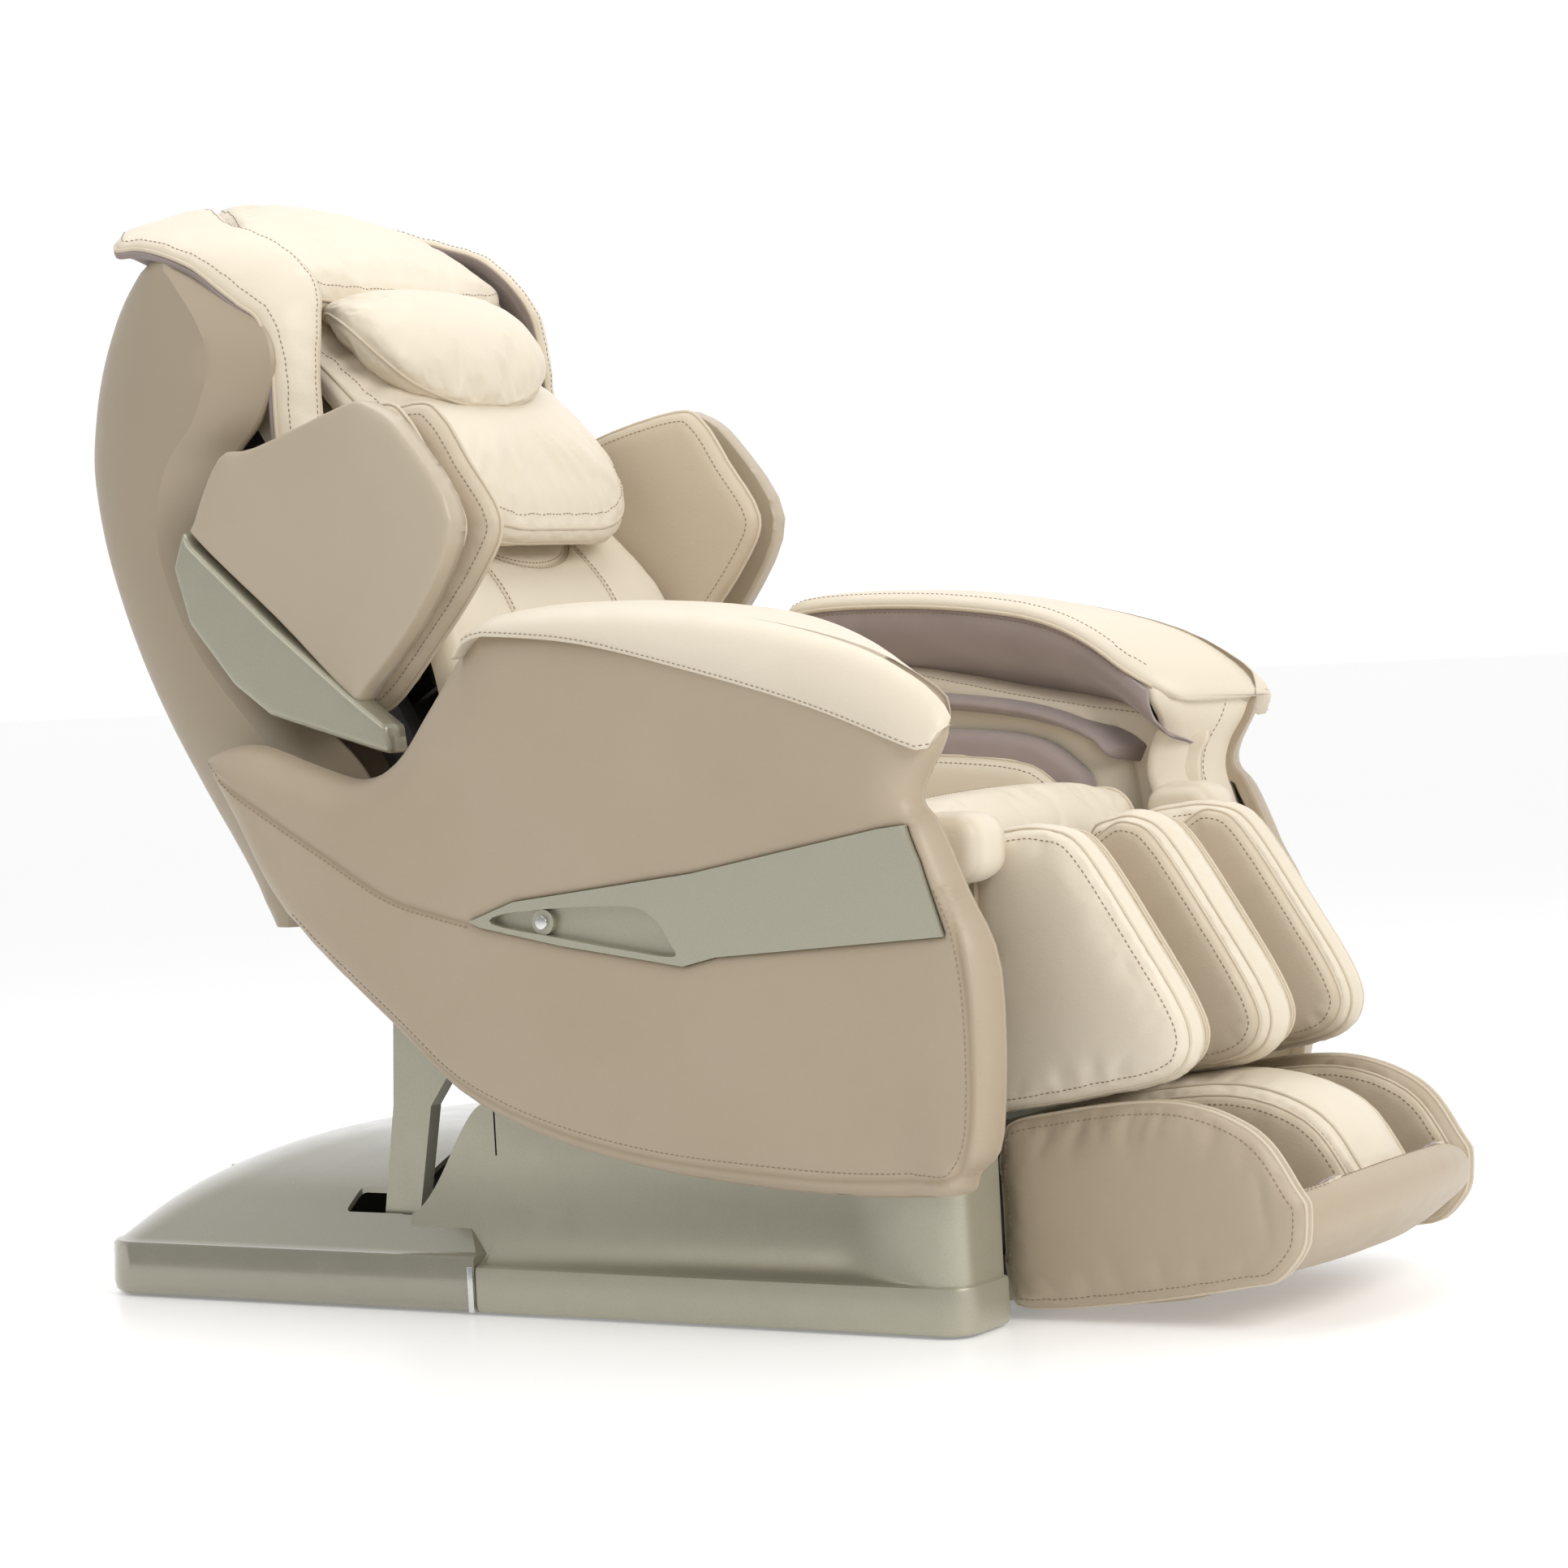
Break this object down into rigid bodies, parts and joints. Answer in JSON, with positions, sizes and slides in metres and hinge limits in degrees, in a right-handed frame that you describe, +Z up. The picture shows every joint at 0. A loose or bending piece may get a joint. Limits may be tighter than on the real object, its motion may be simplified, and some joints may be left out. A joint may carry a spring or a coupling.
{
  "type": "massage chair",
  "caption": "Reclining zero-gravity massage chair with side wings, forearm channels, lifting calf rest, sliding footrest and a travelling back massage carriage.",
  "frame": {"origin": "centre of the bounding box at floor level", "axes": "+X towards the sitter's feet, +Y to the sitter's left, +Z up"},
  "size_m": [1.456, 0.768, 1.2157],
  "materials": {
    "ivory_leather": "fine grained upholstery leather, satin",
    "beige_leather": "fine grained upholstery leather, satin",
    "taupe_fabric": "woven lining",
    "beige_shell": "moulded shell, satin",
    "champagne": "metallic paint, satin",
    "champagne_gloss": "metallic paint, gloss",
    "silver_trim": "bright",
    "steel": "powder coated",
    "board": "plywood",
    "black_plastic": "moulded, matt",
    "roller": "moulded, matt",
    "rubber": "matt"
  },
  "bodies": {
    "base": {"base_frame": "steel", "base_rear_cover": "champagne_gloss", "base_front_cover": "champagne", "column_covers": "champagne", "seam_strips": "silver_trim", "rubber_feet": "rubber", "control_box": "black_plastic", "power_panel": "black_plastic"},
    "power_rocker": {"power_rocker": "black_plastic"},
    "wheel_left": {"wheel_left": "rubber"},
    "wheel_right": {"wheel_right": "rubber"},
    "seat": {"seat_frame": "steel", "seat_cushion": "ivory_leather", "seat_flap": "taupe_fabric", "side_panel_left": "beige_leather", "side_panel_right": "beige_leather", "trim_left": "champagne", "trim_right": "champagne", "boss_screws": "silver_trim", "arm_top_left": "ivory_leather", "arm_top_right": "ivory_leather", "arm_channel_left": "taupe_fabric", "arm_channel_right": "taupe_fabric", "side_pad_left": "ivory_leather", "side_pad_right": "ivory_leather", "arm_frame_left": "board", "arm_frame_right": "board", "legrest_motor": "black_plastic"},
    "tilt_cylinder": {"tilt_cylinder": "black_plastic"},
    "tilt_rod": {"tilt_rod": "silver_trim"},
    "back": {"back_frame": "steel", "back_shell": "beige_shell", "back_cushion": "ivory_leather", "shoulder_flap_left": "ivory_leather", "shoulder_flap_right": "ivory_leather", "wing_cover_left": "beige_shell", "wing_cover_right": "beige_shell", "wing_trim_left": "champagne", "wing_trim_right": "champagne", "wing_pads_left": "beige_leather", "wing_pads_right": "beige_leather"},
    "head_pad": {"top_cover": "ivory_leather", "neck_pad": "ivory_leather"},
    "pillow": {"pillow": "ivory_leather"},
    "recline_cylinder": {"recline_cylinder": "black_plastic"},
    "recline_rod": {"recline_rod": "silver_trim"},
    "carriage": {"carriage": "black_plastic"},
    "kneading_heads": {"kneading_heads": "roller"},
    "legrest": {"legrest_frame": "steel", "calf_pan": "beige_leather", "calf_mid": "ivory_leather", "calf_side_left": "ivory_leather", "calf_side_right": "ivory_leather", "calf_pads": "beige_leather"},
    "footrest": {"foot_base": "beige_leather", "foot_mid": "ivory_leather", "foot_side_left": "beige_leather", "foot_side_right": "beige_leather", "foot_pads": "beige_leather"},
    "foot_rollers": {"foot_rollers": "roller"}
  },
  "joints": [
    {"name": "seat_tilt", "type": "hinge", "parent": "base", "child": "seat", "pos_m": [-0.317, 0, 0.07], "axis": [0, -1, 0], "range_deg": [0, 18]},
    {"name": "tilt_cylinder_swing", "type": "hinge", "parent": "base", "child": "tilt_cylinder", "pos_m": [-0.12, 0, 0.075], "axis": [0, -1, 0], "range_deg": [0, 24.29]},
    {"name": "tilt_rod_slide", "type": "slide", "parent": "tilt_cylinder", "child": "tilt_rod", "axis": [0.6991, 0, 0.715], "range_m": [0, 0.0522]},
    {"name": "back_recline", "type": "hinge", "parent": "seat", "child": "back", "pos_m": [-0.282, 0, 0.45], "axis": [0, -1, 0], "range_deg": [0, 45]},
    {"name": "recline_cylinder_swing", "type": "hinge", "parent": "seat", "child": "recline_cylinder", "pos_m": [0.04, 0, 0.335], "axis": [0, -1, 0], "range_deg": [0, 1]},
    {"name": "recline_rod_slide", "type": "slide", "parent": "recline_cylinder", "child": "recline_rod", "axis": [-1, 0, 0], "range_m": [-0.0964, 0]},
    {"name": "head_pad_flip", "type": "hinge", "parent": "back", "child": "head_pad", "pos_m": [-0.715, 0, 1.19], "axis": [0, -1, 0], "range_deg": [0, 120]},
    {"name": "pillow_flip", "type": "hinge", "parent": "head_pad", "child": "pillow", "pos_m": [-0.45, 0, 1.08], "axis": [0, -1, 0], "range_deg": [0, 60]},
    {"name": "carriage_travel", "type": "slide", "parent": "back", "child": "carriage", "axis": [-0.5, 0, 0.866], "range_m": [0, 0.34]},
    {"name": "kneading_spin", "type": "hinge", "parent": "carriage", "child": "kneading_heads", "pos_m": [-0.36943, 0, 0.66425], "axis": [0, 1, 0], "continuous": true},
    {"name": "legrest_lift", "type": "hinge", "parent": "seat", "child": "legrest", "pos_m": [0.385, 0, 0.465], "axis": [0, -1, 0], "range_deg": [0, 80]},
    {"name": "footrest_extend", "type": "slide", "parent": "legrest", "child": "footrest", "axis": [0, 0, -1], "range_m": [0, 0.13]},
    {"name": "foot_roller_spin", "type": "hinge", "parent": "footrest", "child": "foot_rollers", "pos_m": [0.52, 0, 0.066], "axis": [0, 1, 0], "continuous": true},
    {"name": "wheel_left_spin", "type": "hinge", "parent": "base", "child": "wheel_left", "pos_m": [-0.6, 0.268, 0.03], "axis": [0, 1, 0], "continuous": true},
    {"name": "wheel_right_spin", "type": "hinge", "parent": "base", "child": "wheel_right", "pos_m": [-0.6, -0.268, 0.03], "axis": [0, 1, 0], "continuous": true},
    {"name": "power_switch", "type": "hinge", "parent": "base", "child": "power_rocker", "pos_m": [-0.65144, -0.11, 0.10739], "axis": [0, -1, 0], "range_deg": [0, 12]}
  ],
  "couplings": [
    {"joint": "tilt_cylinder_swing", "follows": "seat_tilt", "ratio": 1.3219},
    {"joint": "tilt_rod_slide", "follows": "seat_tilt", "m_per_rad": 0.16308},
    {"joint": "recline_cylinder_swing", "follows": "back_recline", "ratio": 0.02},
    {"joint": "recline_rod_slide", "follows": "back_recline", "m_per_rad": -0.12144},
    {"joint": "footrest_extend", "follows": "legrest_lift", "m_per_rad": 0.09}
  ]
}
